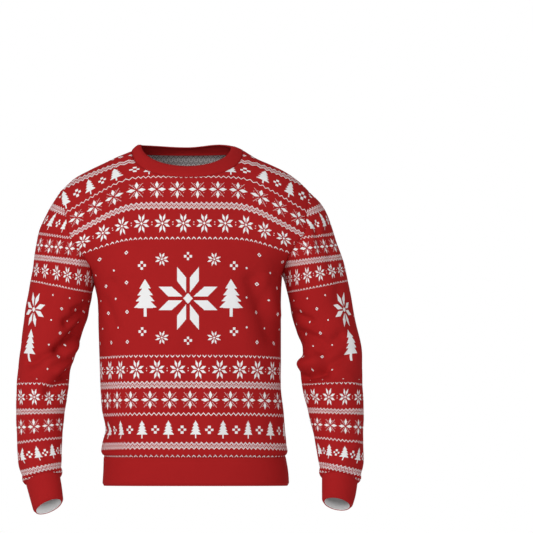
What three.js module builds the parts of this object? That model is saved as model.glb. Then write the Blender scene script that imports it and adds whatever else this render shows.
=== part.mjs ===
// A crew-neck christmas sweater in a printed red knit, filled out as if worn, with nobody in it.
// Millimetres. +X is the wearer's left, the front faces -Y, +Z is up. The origin is the centre of
// the neck's base, on the line of the shoulder seams, where the wearer's shoulders carry it.
//
// Each piece is a wall of cloth laid on a surface of two parameters: a front and a back panel that
// run from the side seams round the chest and over the shoulders, two sleeves from the armhole down
// to the wrist, and the folded bands at the neck, the wrists and the hem.
import * as THREE from 'three';

// Driving sizes
const CLOTH = 2;            // wall of a panel or sleeve
const FOLDED_CLOTH = 2.4;   // wall of a band, which is folded double
const SEAM_GAP = 0.3;       // clear space between two pieces at a seam
const HEM_SEAM_Z = -612;    // seam of the hem band at the sides of the body
const HEM_DIP = 3;          // how far that seam hangs lower at the middle of a panel
const CHEST_Z = -258;       // middle of the row that joins the two armpits
const SQUARENESS = 2.4;     // exponent of the body's rounded oblong sections, 2 is an ellipse
const NECK_SQUARENESS = 2.2;
const NECK_X = -6;          // centre of the neck opening
const BAND_BULGE = 1.6;     // how far a band bows out between its seam and its edge

// How finely the surfaces are divided
const HALF_PANEL = 14;      // steps from the centre line to a side seam
const NECK_SHARE = 0.5;     // share of those that lie on the neck seam
const ROWS_BELOW = 10;      // rows from the hem band to the armpit
const ROWS_ABOVE = 12;      // rows from the armpit to the shoulder seam
const EVEN_ROWS = 0.35;     // how even those lie, from 0, closer at both ends, to 1, all alike
const SLEEVE_RINGS = 22;
const BAND_ROWS = 2;

// A table's rows as records, one named column for each value
function table(columns, ...rows) {
  return rows.map((row) => Object.fromEntries(columns.map((name, i) => [name, row[i]])));
}

// Outline of the body from the front: x of the side seam, then of the armhole seam, by height
const OUTLINE = {
  right: table(['z', 'x'],
    [-614, -171], [-591, -175], [-558, -168], [-520, -175], [-478, -178], [-419, -180],
    [-360, -182], [-300, -184], [-268, -191], [-236, -199], [-203, -219], [-178, -235],
    [-157, -244], [-121, -250], [-86, -261]),
  left: table(['z', 'x'],
    [-614, 190], [-591, 192], [-558, 189], [-520, 186], [-478, 181], [-419, 181],
    [-360, 181], [-300, 181], [-249, 184], [-231, 190], [-206, 200], [-188, 212],
    [-166, 229], [-131, 233], [-84, 238]),
};
const ARMPIT_Z = { right: -268, left: -249 };
const TIP_Z = { right: -86, left: -84 };

// The shoulder seam from the neck point, share 0, to the tip of the shoulder, share 1
const SHOULDER = {
  right: table(['share', 'x', 'z'],
    [0, -117, -3], [0.2, -146, -15], [0.4, -173, -28], [0.6, -202, -42], [0.8, -232, -59],
    [1, -261, -86]),
  left: table(['share', 'x', 'z'],
    [0, 107, -2], [0.2, 133, -18], [0.4, 160, -30], [0.6, 187, -43], [0.8, 214, -61],
    [1, 238, -84]),
};

// Centre line of the body, which leans a little, and its depth in front of and behind the side seams
const MIDDLE = table(['z', 'x', 'front', 'back'],
  [-614, 9, 106, 92], [-540, 6, 112, 95], [-460, 3, 117, 99], [-380, 0, 121, 104],
  [-300, -2, 124, 110], [-220, -4, 124, 114], [-120, -5, 120, 112], [-20, -6, 116, 108]);

// What differs between the two panels. roundness is the exponent of the arch from chest to neck.
const FRONT = { side: -1, depth: 'front', neckZ: -54.6, neckY: 82, armholeY: 76, roundness: 1.35 };
const BACK = { side: 1, depth: 'back', neckZ: -9, neckY: 62, armholeY: 70, roundness: 1.9 };
const SHOULDER_ROUNDNESS = 2.1;
const SHOULDER_FROM = 0.2;  // the arch turns into the shoulder's between these shares of a half panel
const SHOULDER_TO = 0.8;
const ARMHOLE_TURN = 50;    // degrees of the section's quarter turn that a panel covers at the armhole
const ARMHOLE_TURNED = 0.45;  // share of the armhole's height by which it has come down to that
const ARMHOLE_FRONT = 0.5;  // share of the armhole's height at which it lies furthest forward
const NECK_SPREAD = 1.5;    // how late the rows spread towards the neck opening

// Sleeve sections: outer and inner edge seen from the front, centre's y, half depth and lean in degrees
const SECTION = ['outerX', 'outerZ', 'innerX', 'innerZ', 'y', 'depth', 'lean'];
const SLEEVE = {
  right: table(SECTION,
    [-261, -86, -191, -268, 0, 66, 0],
    [-285, -128, -196, -282, 0, 69, 0],
    [-302, -171, -198, -298, 2, 69, 0],
    [-313, -226, -202, -316, 5, 67, 0],
    [-322, -283, -206, -338, 9, 64, 0],
    [-331, -343, -216, -367, 9, 61, 4],
    [-338, -392, -229, -406, 5, 57, 10],
    [-343, -436, -241, -440, -6, 53, 17],
    [-345, -484, -245, -486, -24, 50, 22],
    [-346, -534, -251, -530, -45, 48, 24],
    [-345, -582, -256, -575, -66, 46, 24],
    [-341, -627, -257, -617, -85, 44, 24],
    [-330, -661, -256, -648, -100, 38, 24]),
  left: table(SECTION,
    [238, -84, 184, -249, 0, 66, 0],
    [267, -116, 190, -263, 0, 69, 0],
    [285, -161, 195, -281, 2, 69, 0],
    [304, -218, 200, -303, 5, 67, 0],
    [317, -275, 206, -332, 9, 64, 0],
    [329, -336, 215, -362, 9, 61, 4],
    [340, -383, 226, -398, 5, 57, 10],
    [344, -428, 222, -436, -6, 54, 17],
    [345, -478, 226, -478, -24, 52, 22],
    [345, -528, 238, -528, -45, 49, 24],
    [345, -578, 250, -575, -66, 46, 24],
    [345, -628, 257, -618, -85, 44, 24],
    [340, -656, 262, -648, -100, 38, 24]),
};
const CAP_FADE = 0.3;       // share of the sleeve over which the armhole's own curve fades out
const CUFF = {
  right: table(SECTION, [-320, -692, -254, -676, -112, 34, 25], [-310, -721, -253, -701, -124, 31, 26]),
  left: table(SECTION, [332, -686, 264, -678, -112, 34, 25], [322, -711, 264, -701, -124, 31, 26]),
};

// Free edge of the collar band and sections of the hem band
const COLLAR = { right: { x: -100, z: 12 }, left: { x: 84, z: 8 }, sideY: -4 };
const COLLAR_FRONT = { y: -68, z: -31.8 };
const COLLAR_BACK = { y: 47, z: 8 };
const HEM = table(['z', 'right', 'left', 'front', 'back'],
  [-641, -172, 195, 108, 94], [-670, -174, 197, 107, 93]);

// Largest folds, seen from the front or from behind, each a soft trough or ridge along a line.
// depth is how far the cloth moves out, negative for a trough, and width is its half width.
const FOLD = ['x1', 'z1', 'x2', 'z2', 'depth', 'width'];
const FOLDS = {
  front: table(FOLD,
    [122, -262, 160, -372, -6, 13], [150, -258, 172, -330, 4, 10], [96, -300, 128, -420, 3, 20],
    [2, -400, 10, -600, -3, 14], [48, -420, 44, -590, 3, 18], [-62, -430, -70, -600, -2.5, 16],
    [-206, -322, -246, -346, -6, 8], [-208, -352, -262, -400, -8, 9], [-262, -402, -318, -426, -5, 8],
    [-222, -388, -282, -420, 5, 9], [-232, -440, -282, -480, -8, 9], [-250, -470, -330, -470, 3, 12],
    [206, -432, 250, -426, 7, 11], [226, -456, 270, -444, -7, 8], [262, -438, 312, -412, -4, 9],
    [262, -404, 300, -372, -4, 10], [252, -480, 320, -470, 4, 11],
    [252, -146, 262, -196, -4, 7], [276, -160, 282, -230, -3, 8], [-252, -162, -240, -210, -4, 7],
    [-278, -200, -262, -262, -3, 9]),
  back: table(FOLD,
    [-190, -200, -176, -320, -4, 12], [172, -190, 166, -320, -4, 12], [-120, -440, -128, -600, 3, 18],
    [60, -430, 66, -600, -3, 18], [130, -420, 138, -600, 3, 15], [-30, -470, -34, -600, -2.5, 15],
    [-226, -340, -286, -366, -6, 9], [-236, -372, -300, -392, 4, 10], [-240, -420, -310, -470, -5, 10],
    [224, -340, 288, -360, -6, 9], [232, -368, 300, -392, 4, 10], [238, -430, 310, -466, -5, 10]),
};
const SEAM_HOLD = 0.08;     // share of a surface, next to a seam, in which its folds die out
const EDGE_FADE = 2.5;      // how fast a sleeve's front and back folds come in from its outline

const radians = THREE.MathUtils.degToRad;
const mix = THREE.MathUtils.lerp;
const smooth = THREE.MathUtils.smoothstep;

// All columns of a table at one value of its key column, on a smooth curve through its rows
function read(rows, key, value) {
  let i = 0;
  while (i < rows.length - 2 && value > rows[i + 1][key]) i += 1;
  const [before, from, to, after] = [rows[Math.max(i - 1, 0)], rows[i], rows[i + 1],
    rows[Math.min(i + 2, rows.length - 1)]];
  const step = to[key] - from[key];
  const s = THREE.MathUtils.clamp((value - from[key]) / step, 0, 1);
  const found = {};
  for (const name of Object.keys(from)) {
    const slopeFrom = (to[name] - before[name]) / (to[key] - before[key]);
    const slopeTo = (after[name] - from[name]) / (after[key] - from[key]);
    found[name] = (2 * s ** 3 - 3 * s ** 2 + 1) * from[name] + (s ** 3 - 2 * s ** 2 + s) * step * slopeFrom
      + (3 * s ** 2 - 2 * s ** 3) * to[name] + (s ** 3 - s ** 2) * step * slopeTo;
  }
  return found;
}

// A rounded oblong's two shares at an angle from its middle: along it, and of its depth
function rounded(angle, squareness) {
  const power = 2 / squareness;
  return [Math.max(Math.sin(angle), 0) ** power, Math.max(Math.cos(angle), 0) ** power];
}

// Rows above the armpit lie closer together at the armhole's two ends, where it turns
const armholeShare = (w) => mix((1 - Math.cos(Math.PI * w)) / 2, w, EVEN_ROWS);

// Top edge of a panel: the neck seam out to the neck point, then the shoulder seam
function topEdge(panel, side, out) {
  const neckPoint = SHOULDER[side][0];
  if (out >= NECK_SHARE) {
    const { x, z } = read(SHOULDER[side], 'share', (out - NECK_SHARE) / (1 - NECK_SHARE));
    return new THREE.Vector3(x, 0, z);
  }
  const [across, down] = rounded((out / NECK_SHARE) * Math.PI / 2, NECK_SQUARENESS);
  return new THREE.Vector3(mix(NECK_X, neckPoint.x, across), panel.side * panel.neckY * down,
    mix(neckPoint.z, panel.neckZ, down));
}

// A panel's middle surface. across runs from -1 to 1 between the wearer's right and left side seams.
// up runs from -1 at the hem band to 0 at the armpits and 1 at the shoulder and neck seams.
function panelPoint(panel, across, up) {
  const side = across < 0 ? 'right' : 'left';
  const out = Math.abs(across);
  const chestZ = mix(CHEST_Z, ARMPIT_Z[side], out ** 2);
  const power = 2 / SQUARENESS;
  if (up <= 0) {
    const edgeZ = mix(HEM_SEAM_Z, ARMPIT_Z[side], up + 1);
    const middleZ = mix(HEM_SEAM_Z - HEM_DIP, CHEST_Z, up + 1);
    const middle = read(MIDDLE, 'z', middleZ);
    const edge = read(OUTLINE[side], 'z', edgeZ);
    const [along, depth] = rounded(out * Math.PI / 2, SQUARENESS);
    return new THREE.Vector3(mix(middle.x, edge.x, along), panel.side * middle[panel.depth] * depth,
      mix(middleZ, edgeZ, out ** 2));
  }
  const top = topEdge(panel, side, out);
  const tip = SHOULDER[side].at(-1);
  const z = mix(chestZ, top.z, up);
  const middle = read(MIDDLE, 'z', mix(CHEST_Z, panel.neckZ, up));
  const edge = read(OUTLINE[side], 'z', mix(ARMPIT_Z[side], TIP_Z[side], up));
  const turn = radians(mix(90, ARMHOLE_TURN, smooth(up, 0, ARMHOLE_TURNED)));
  const spread = (Math.sin(out * turn) / Math.sin(turn)) ** power;
  const rest = Math.max(Math.cos(turn), 0) ** power;
  const depthShare = (Math.max(Math.cos(out * turn), 0) ** power - rest) / (1 - rest);
  const topTurn = radians(ARMHOLE_TURN);
  const topSpread = (Math.sin(out * topTurn) / Math.sin(topTurn)) ** power;
  const topX = read(MIDDLE, 'z', panel.neckZ).x;
  const x = mix(middle.x, edge.x, spread) + (top.x - mix(topX, tip.x, topSpread)) * up ** NECK_SPREAD;
  const armhole = panel.armholeY * Math.sin(Math.PI / 2 * Math.min(1, up / ARMHOLE_FRONT));
  const depth = panel.side * mix(armhole, middle[panel.depth], depthShare);
  const bend = mix(panel.roundness, SHOULDER_ROUNDNESS, smooth(out, SHOULDER_FROM, SHOULDER_TO));
  return new THREE.Vector3(x, mix(top.y, depth, (1 - up ** bend) ** (1 / bend)), z);
}

// A ring of a sleeve or cuff: around is the angle from the outer edge, over the front to the inner edge
function sectionPoint(section, around) {
  const half = new THREE.Vector3(section.outerX - section.innerX, 0, section.outerZ - section.innerZ)
    .multiplyScalar(0.5);
  const lean = radians(section.lean);
  return new THREE.Vector3(section.innerX, section.y, section.innerZ).add(half)
    .addScaledVector(half, Math.cos(around))
    .addScaledVector(new THREE.Vector3(0, -Math.cos(lean), Math.sin(lean)),
      section.depth * Math.sin(around));
}

// The armhole seam as a ring, from the tip of the shoulder over the front to the armpit and back
function armholePoint(side, around) {
  const panel = around <= Math.PI ? FRONT : BACK;
  const down = around <= Math.PI ? around / Math.PI : 2 - around / Math.PI;
  return panelPoint(panel, side === 'right' ? -1 : 1, armholeShare(1 - down));
}

// Rows with a column of their own, down, that spaces them evenly from 0 to 1
const spaced = (rows) => rows.map((row, i) => ({ ...row, down: i / (rows.length - 1) }));

// A sleeve's middle surface: down runs from 0 at the armhole to 1 at the cuff's seam
function sleevePoint(side, around, down) {
  const sections = spaced(SLEEVE[side]);
  const point = sectionPoint(read(sections, 'down', down), around);
  const cap = armholePoint(side, around).sub(sectionPoint(sections[0], around));
  return point.addScaledVector(cap, 1 - smooth(down, 0, CAP_FADE));
}

// A cuff, from the sleeve's end to its free edge
function cuffPoint(side, around, down) {
  return sectionPoint(read(spaced([SLEEVE[side].at(-1), ...CUFF[side]]), 'down', down), around);
}

// The neck seam as a ring: turn runs from 0 at the front, by the wearer's left, to 1 at the front again
function collarPoint(turn, up) {
  const panel = turn > 0.25 && turn < 0.75 ? BACK : FRONT;
  const side = turn <= 0.5 ? 'left' : 'right';
  const angle = Math.abs(Math.asin(Math.sin(turn * 2 * Math.PI)));
  const seam = topEdge(panel, side, NECK_SHARE * angle / (Math.PI / 2));
  const middle = panel === FRONT ? COLLAR_FRONT : COLLAR_BACK;
  const [across, along] = [Math.sin(angle), Math.cos(angle)];
  const edge = new THREE.Vector3(mix(NECK_X, COLLAR[side].x, across), mix(COLLAR.sideY, middle.y, along),
    mix(COLLAR[side].z, middle.z, along));
  const out = new THREE.Vector3(seam.x - NECK_X, seam.y, 0).normalize();
  return seam.lerp(edge, up).addScaledVector(out, BAND_BULGE * 4 * up * (1 - up));
}

// The hem band, from the panels' lower edges to its fold, which is level: turn as on the collar
function hemPoint(turn, down) {
  const panel = turn > 0.25 && turn < 0.75 ? BACK : FRONT;
  const side = turn <= 0.5 ? 'left' : 'right';
  const angle = Math.abs(Math.asin(Math.sin(turn * 2 * Math.PI)));
  const seam = panelPoint(panel, (side === 'left' ? 1 : -1) * angle / (Math.PI / 2), -1);
  const { front, back } = MIDDLE[0];
  const top = { z: HEM_SEAM_Z, right: OUTLINE.right[0].x, left: OUTLINE.left[0].x, front, back };
  const ring = read(spaced([top, ...HEM]), 'down', down);
  const [across, along] = rounded(angle, SQUARENESS);
  return new THREE.Vector3(seam.x + across * (ring[side] - top[side]),
    seam.y + panel.side * along * (ring[panel.depth] - top[panel.depth]),
    mix(seam.z, top.z, down) + ring.z - top.z);
}

// How far the folds move a point of the front or back along its normal
function foldDepth(face, point) {
  let depth = 0;
  for (const fold of FOLDS[face]) {
    const along = new THREE.Vector2(fold.x2 - fold.x1, fold.z2 - fold.z1);
    const from = new THREE.Vector2(point.x - fold.x1, point.z - fold.z1);
    const share = THREE.MathUtils.clamp(from.dot(along) / along.lengthSq(), 0, 1);
    const off = from.addScaledVector(along, -share).length();
    depth += fold.depth * Math.exp(-((off / fold.width) ** 2));
  }
  return depth;
}

// Normals of a grid of points, from the steps to the neighbours on each side
function gridNormals(grid, closed, turn) {
  const rows = grid.length;
  const columns = grid[0].length;
  return grid.map((row, i) => row.map((_, j) => {
    const left = closed ? (j + columns - 1) % columns : Math.max(j - 1, 0);
    const right = closed ? (j + 1) % columns : Math.min(j + 1, columns - 1);
    const across = grid[i][right].clone().sub(grid[i][left]);
    const along = grid[Math.min(i + 1, rows - 1)][j].clone().sub(grid[Math.max(i - 1, 0)][j]);
    return across.cross(along).normalize().multiplyScalar(turn);
  }));
}

// Lays out one piece as rows of points, with its folds. hold says how close a place is to a seam.
function layOut({ name, rows, columns, closed = false, turn = 1, thickness, point, face, hold, colour }) {
  const place = [...Array(rows + 1).keys()].map((i) => [...Array(closed ? columns : columns + 1).keys()]
    .map((j) => [i / rows, j / columns]));
  const flat = place.map((row) => row.map(([v, u]) => point(u, v)));
  const normals = gridNormals(flat, closed, turn);
  const grid = flat.map((row, i) => row.map((p, j) => {
    const [v, u] = place[i][j];
    return face ? p.clone().addScaledVector(normals[i][j], face(p, u) * hold(u, v)) : p;
  }));
  return { name, grid, closed, turn, thickness, colour, normals: gridNormals(grid, closed, turn) };
}

const seamHold = (share) => smooth(share, 0, SEAM_HOLD) * smooth(1 - share, 0, SEAM_HOLD);
const rowShare = (v) => {
  const row = v * (ROWS_BELOW + ROWS_ABOVE);
  return row <= ROWS_BELOW ? row / ROWS_BELOW - 1 : armholeShare((row - ROWS_BELOW) / ROWS_ABOVE);
};

function panel(name, which, face, colour) {
  return layOut({
    name, colour, thickness: CLOTH, rows: ROWS_BELOW + ROWS_ABOVE, columns: 2 * HALF_PANEL,
    turn: which.side < 0 ? 1 : -1,
    point: (u, v) => panelPoint(which, 2 * u - 1, rowShare(v)),
    face: (p) => foldDepth(face, p),
    hold: (u, v) => seamHold(u) * seamHold(v),
  });
}

function sleeve(name, side, colour) {
  return layOut({
    name, colour, thickness: CLOTH, rows: SLEEVE_RINGS, columns: 2 * ROWS_ABOVE, closed: true,
    turn: side === 'right' ? -1 : 1,
    point: (u, v) => sleevePoint(side, u * 2 * Math.PI, v),
    face: (p, u) => {
      const facing = Math.sin(u * 2 * Math.PI);
      return foldDepth(facing > 0 ? 'front' : 'back', p) * Math.min(1, EDGE_FADE * Math.abs(facing));
    },
    hold: (u, v) => seamHold(v),
  });
}

function cuff(name, side, colour) {
  return layOut({
    name, colour, thickness: FOLDED_CLOTH, rows: BAND_ROWS, columns: 2 * ROWS_ABOVE, closed: true,
    turn: side === 'right' ? -1 : 1,
    point: (u, v) => cuffPoint(side, u * 2 * Math.PI, v),
  });
}

const SAME_PLACE = 0.02;    // points that agree to this are one point of a seam
const OFF_LIMITS = 1 / 7;   // keeps round sizes off the limit between two such places

// Averages the normals of pieces that meet at the same point, so that their walls end face to face.
// The two panels count as one there, because a sleeve or band runs across the seam between them.
function joinNormals(pieces) {
  const key = (p) => p.toArray().map((value) => Math.round(value / SAME_PLACE + OFF_LIMITS)).join();
  const sums = new Map();
  const each = (act) => pieces.forEach((piece) => piece.grid.forEach((row, i) => row
    .forEach((p, j) => act(key(p), piece.normals[i][j], piece.closed ? 'ring' : 'panel'))));
  each((at, normal, kind) => {
    if (!sums.has(at)) sums.set(at, { ring: new THREE.Vector3(), panel: new THREE.Vector3() });
    sums.get(at)[kind].add(normal);
  });
  each((at, normal) => {
    const { ring, panel: side } = sums.get(at);
    normal.copy(ring.clone().normalize().add(side.clone().normalize())).normalize();
  });
}

// Draws the piece's edges back by half of the seam gap, square to the two stretches of edge that
// meet at each of their points
function drawBack({ grid, normals, closed, turn }) {
  const last = grid.length - 1;
  const columns = grid[0].length;
  const end = columns - 1;
  return grid.map((row, i) => row.map((p, j) => {
    const steps = [];
    const add = (q, way, inwards) => steps.push(q.clone().sub(p).multiplyScalar(way * inwards * turn)
      .cross(normals[i][j]).normalize());
    if (i === 0 || i === last) {
      if (closed || j > 0) add(row[closed ? (j + end) % columns : j - 1], -1, i === last ? 1 : -1);
      if (closed || j < end) add(row[(j + 1) % columns], 1, i === last ? 1 : -1);
    }
    if (!closed && (j === 0 || j === end)) {
      if (i > 0) add(grid[i - 1][j], -1, j === 0 ? 1 : -1);
      if (i < last) add(grid[i + 1][j], 1, j === 0 ? 1 : -1);
    }
    if (!steps.length) return p.clone();
    const [first, second] = steps;
    return p.clone().addScaledVector(first.clone().add(second), SEAM_GAP / 2 / (1 + first.dot(second)));
  }));
}

// The closed wall of a piece: outer and inner surface, and the rims that join them
function wall(piece) {
  const grid = drawBack(piece);
  const rows = grid.length;
  const columns = grid[0].length;
  const positions = [];
  for (const out of [0.5, -0.5]) {
    grid.forEach((row, i) => row.forEach((p, j) => positions
      .push(...p.clone().addScaledVector(piece.normals[i][j], out * piece.thickness).toArray())));
  }
  const at = (layer, i, j) => layer * rows * columns + i * columns + (j % columns);
  const index = [];
  const face = (a, b, c, d) => index.push(a, b, c, a, c, d);
  const steps = piece.closed ? columns : columns - 1;
  for (let i = 0; i < rows - 1; i += 1) {
    for (let j = 0; j < steps; j += 1) {
      face(at(0, i, j), at(0, i, j + 1), at(0, i + 1, j + 1), at(0, i + 1, j));
      face(at(1, i, j), at(1, i + 1, j), at(1, i + 1, j + 1), at(1, i, j + 1));
    }
    if (!piece.closed) {
      face(at(0, i, 0), at(0, i + 1, 0), at(1, i + 1, 0), at(1, i, 0));
      face(at(0, i + 1, steps), at(0, i, steps), at(1, i, steps), at(1, i + 1, steps));
    }
  }
  for (let j = 0; j < steps; j += 1) {
    face(at(0, 0, j + 1), at(0, 0, j), at(1, 0, j), at(1, 0, j + 1));
    face(at(0, rows - 1, j), at(0, rows - 1, j + 1), at(1, rows - 1, j + 1), at(1, rows - 1, j));
  }
  return { positions, index };
}

// Six times the signed volume of a closed mesh, negative where its faces point inwards
function windingOf({ positions, index }) {
  const corner = (i) => new THREE.Vector3().fromArray(positions, 3 * index[i]);
  let sum = 0;
  for (let i = 0; i < index.length; i += 3) sum += corner(i).dot(corner(i + 1).cross(corner(i + 2)));
  return sum;
}

function meshOf(piece) {
  const solid = wall(piece);
  if (windingOf(solid) < 0) solid.index.reverse();
  const geometry = new THREE.BufferGeometry();
  geometry.setAttribute('position', new THREE.Float32BufferAttribute(solid.positions, 3));
  geometry.setIndex(solid.index);
  geometry.computeVertexNormals();
  const material = new THREE.MeshStandardMaterial({ color: piece.colour, roughness: 0.85, metalness: 0 });
  const mesh = new THREE.Mesh(geometry, material);
  mesh.name = piece.name;
  return mesh;
}

const PRINTED_RED = 0xa8262a;
const BAND_RED = 0xa0191d;

const ringBand = (name, columns, turn, point) => layOut({
  name, columns, turn, point, colour: BAND_RED, thickness: FOLDED_CLOTH, rows: BAND_ROWS, closed: true,
});

const pieces = [
  panel('front_panel', FRONT, 'front', PRINTED_RED),
  panel('back_panel', BACK, 'back', PRINTED_RED),
  sleeve('sleeve_right', 'right', PRINTED_RED),
  sleeve('sleeve_left', 'left', PRINTED_RED),
  ringBand('neck_band', 4 * HALF_PANEL * NECK_SHARE, 1, (u, v) => collarPoint(u, v)),
  ringBand('hem_band', 4 * HALF_PANEL, -1, (u, v) => hemPoint(u, v)),
  cuff('cuff_right', 'right', BAND_RED),
  cuff('cuff_left', 'left', BAND_RED),
];
joinNormals(pieces);

const group = new THREE.Group();
group.add(...pieces.map(meshOf));

export default group;
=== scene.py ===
"""A crew-neck christmas sweater in a printed red knit, filled out as if worn, with nobody in it.

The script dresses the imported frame: each cut piece is laid out as a sheet of points from the same
sizes as its solid, gets its thickness, its seams and folds and a printed knit. Tables and surface
functions are in millimetres, meshes in metres. +X is the wearer's left, the front faces -Y.
"""

import bpy
import numpy as np
from bpy.props import FloatProperty, FloatVectorProperty, IntProperty, PointerProperty
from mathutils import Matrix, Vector


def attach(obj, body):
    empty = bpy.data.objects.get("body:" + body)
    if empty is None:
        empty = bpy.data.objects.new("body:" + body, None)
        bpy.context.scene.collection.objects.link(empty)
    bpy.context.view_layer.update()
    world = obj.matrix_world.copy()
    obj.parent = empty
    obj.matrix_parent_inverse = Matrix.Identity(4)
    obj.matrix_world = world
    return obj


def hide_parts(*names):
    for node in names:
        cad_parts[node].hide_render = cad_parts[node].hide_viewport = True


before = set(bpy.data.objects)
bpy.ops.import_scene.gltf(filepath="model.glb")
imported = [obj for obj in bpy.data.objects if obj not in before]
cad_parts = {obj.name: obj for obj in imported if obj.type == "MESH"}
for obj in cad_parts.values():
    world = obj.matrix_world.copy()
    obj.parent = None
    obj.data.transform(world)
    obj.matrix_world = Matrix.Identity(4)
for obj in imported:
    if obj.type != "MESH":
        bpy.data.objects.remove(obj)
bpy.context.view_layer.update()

bl_info = {
    "name": "Christmas Sweater",
    "version": (1, 0, 0),
    "blender": (4, 5, 0),
    "location": "View3D > Sidebar > Sweater",
    "description": "Lays out a crew-neck christmas sweater piece by piece",
    "category": "Add Mesh",
}

MM = 0.001

# Driving sizes of the surfaces, in millimetres, as in the part's source
HEM_SEAM_Z, HEM_DIP, CHEST_Z = -612, 3, -258
SQUARENESS, NECK_SQUARENESS = 2.4, 2.2
NECK_X = -6
NECK_SHARE = 0.5            # share of half a panel that lies on the neck seam
BELOW_SHARE = 10 / 22       # share of a panel's rows that lie below the armpit
EVEN_ROWS = 0.35            # how even the rows above lie
SHOULDER_ROUNDNESS, SHOULDER_FROM, SHOULDER_TO = 2.1, 0.2, 0.8
ARMHOLE_TURN, ARMHOLE_TURNED, ARMHOLE_FRONT = 50, 0.45, 0.5
NECK_SPREAD = 1.5
CAP_FADE = 0.3              # share of a sleeve's length over which the armhole's curve fades out

# z, then x of the side seam and of the armhole seam above it
OUTLINE = {
    "right": ((-614, -171), (-591, -175), (-558, -168), (-520, -175), (-478, -178), (-419, -180),
              (-360, -182), (-300, -184), (-268, -191), (-236, -199), (-203, -219), (-178, -235),
              (-157, -244), (-121, -250), (-86, -261)),
    "left": ((-614, 190), (-591, 192), (-558, 189), (-520, 186), (-478, 181), (-419, 181),
             (-360, 181), (-300, 181), (-249, 184), (-231, 190), (-206, 200), (-188, 212),
             (-166, 229), (-131, 233), (-84, 238)),
}
ARMPIT_Z = {"right": -268, "left": -249}
TIP_Z = {"right": -86, "left": -84}

# share of the shoulder seam from the neck point to the tip, x, z
SHOULDER = {
    "right": ((0, -117, -3), (0.2, -146, -15), (0.4, -173, -28), (0.6, -202, -42),
              (0.8, -232, -59), (1, -261, -86)),
    "left": ((0, 107, -2), (0.2, 133, -18), (0.4, 160, -30), (0.6, 187, -43), (0.8, 214, -61),
             (1, 238, -84)),
}

# z, x of the centre line, depth in front of it and behind it
MIDDLE = ((-614, 9, 106, 92), (-540, 6, 112, 95), (-460, 3, 117, 99), (-380, 0, 121, 104),
          (-300, -2, 124, 110), (-220, -4, 124, 114), (-120, -5, 120, 112), (-20, -6, 116, 108))

FRONT = {"side": -1, "depth": 1, "neck_z": -54.6, "neck_y": 82, "armhole_y": 76, "roundness": 1.35}
BACK = {"side": 1, "depth": 2, "neck_z": -9, "neck_y": 62, "armhole_y": 70, "roundness": 1.9}

# Sleeve sections: outer and inner edge from the front as x, z; centre's y, half depth, lean
SLEEVE = {
    "right": ((-261, -86, -191, -268, 0, 66, 0), (-285, -128, -196, -282, 0, 69, 0),
              (-302, -171, -198, -298, 2, 69, 0), (-313, -226, -202, -316, 5, 67, 0),
              (-322, -283, -206, -338, 9, 64, 0), (-331, -343, -216, -367, 9, 61, 4),
              (-338, -392, -229, -406, 5, 57, 10), (-343, -436, -241, -440, -6, 53, 17),
              (-345, -484, -245, -486, -24, 50, 22), (-346, -534, -251, -530, -45, 48, 24),
              (-345, -582, -256, -575, -66, 46, 24), (-341, -627, -257, -617, -85, 44, 24),
              (-326, -666, -260, -652, -101, 36, 24)),
    "left": ((238, -84, 184, -249, 0, 66, 0), (267, -116, 190, -263, 0, 69, 0),
             (285, -161, 195, -281, 2, 69, 0), (304, -218, 200, -303, 5, 67, 0),
             (317, -275, 206, -332, 9, 64, 0), (329, -336, 215, -362, 9, 61, 4),
             (340, -383, 226, -398, 5, 57, 10), (344, -428, 222, -436, -6, 54, 17),
             (345, -478, 226, -478, -24, 52, 22), (345, -528, 238, -528, -45, 49, 24),
             (345, -578, 250, -575, -66, 46, 24), (345, -628, 257, -618, -85, 44, 24),
             (333, -663, 264, -652, -101, 36, 24)),
}
CUFF = {
    "right": ((-318, -694, -256, -677, -112, 34, 25), (-310, -721, -253, -701, -124, 31, 26)),
    "left": ((329, -688, 264, -678, -112, 34, 25), (322, -711, 264, -701, -124, 31, 26)),
}

# Free edge of the collar: x and z at its two sides, y and z at its front and back
COLLAR_SIDE = {"right": (-100, 12), "left": (84, 8)}
COLLAR_SIDE_Y = -4
COLLAR_FRONT, COLLAR_BACK = (-68, -31.8), (47, 7)
COLLAR_LIFT = {"right": 1.5, "left": 5}     # how much its back rises halfway to each side
# z, x at the two sides, depth in front and behind of the hem band
HEM = ((-641, -172, 195, 108, 94), (-670, -174, 197, 107, 93))

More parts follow.
